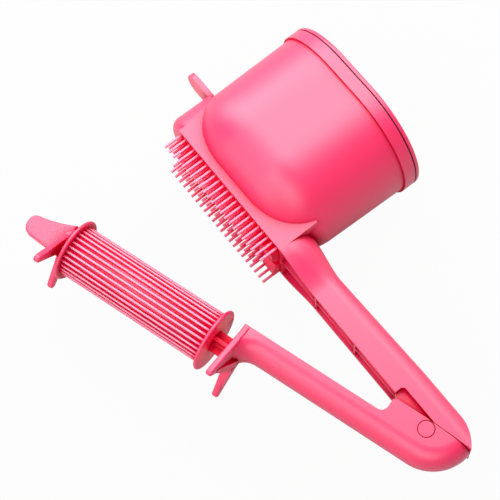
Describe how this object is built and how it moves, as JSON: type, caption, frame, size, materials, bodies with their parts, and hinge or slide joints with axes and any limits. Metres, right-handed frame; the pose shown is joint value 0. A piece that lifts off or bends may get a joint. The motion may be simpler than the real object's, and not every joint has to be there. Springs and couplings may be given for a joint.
{
  "type": "hair colouring roller brush",
  "caption": "Hair colouring brush: a lidded dye bowl on a bristled head, and a hinged arm that presses a ribbed roller into the bristles.",
  "frame": {"origin": "centre of the lid's flat top", "axes": "+Y out through the lid, +X along the tank arm from nose to hinge, Z across the width"},
  "size_m": [0.2639, 0.1968, 0.0844],
  "materials": {
    "pink_plastic": "gloss",
    "deep_pink_plastic": "gloss",
    "inner_plastic": "satin",
    "bristle_nylon": "satin",
    "soft_seal": "satin",
    "steel": "satin"
  },
  "bodies": {
    "tank": {"tank_arm": "pink_plastic", "tank_bowl": "pink_plastic", "dosing_floor": "inner_plastic", "gate_cover": "inner_plastic", "gate_seal": "soft_seal", "lid_seal": "soft_seal", "bristle_plate": "deep_pink_plastic", "saddle_pads": "deep_pink_plastic", "outer_bristles": "bristle_nylon", "inner_bristles": "bristle_nylon", "plate_screw": "pink_plastic", "hinge_spring": "steel"},
    "arm": {"roller_arm": "pink_plastic", "hinge_pin": "pink_plastic", "pin_cap": "pink_plastic", "roller_axle": "pink_plastic", "end_yoke": "pink_plastic"},
    "roller": {"roller_drum": "deep_pink_plastic", "inner_flange": "pink_plastic", "outer_flange": "pink_plastic"},
    "gate": {"slide_gate": "pink_plastic"},
    "cover": {"lid": "pink_plastic"}
  },
  "joints": [
    {"name": "arm_hinge", "type": "hinge", "parent": "tank", "child": "arm", "pos_m": [0.1677, -0.0912, 0], "axis": [0, 0, 1], "range_deg": [-17.2, 0], "stiffness_Nm_per_rad": 0.25, "springref_deg": 20.05},
    {"name": "roller_spin", "type": "hinge", "parent": "arm", "child": "roller", "pos_m": [0.01616, -0.15972, 0], "axis": [0.9527, 0.304, 0], "continuous": true},
    {"name": "gate_slide", "type": "slide", "parent": "tank", "child": "gate", "axis": [-1, 0, 0], "range_m": [0, 0.005]},
    {"name": "lid_lift", "type": "slide", "parent": "tank", "child": "cover", "axis": [0, 1, 0], "range_m": [0, 0.03]}
  ]
}
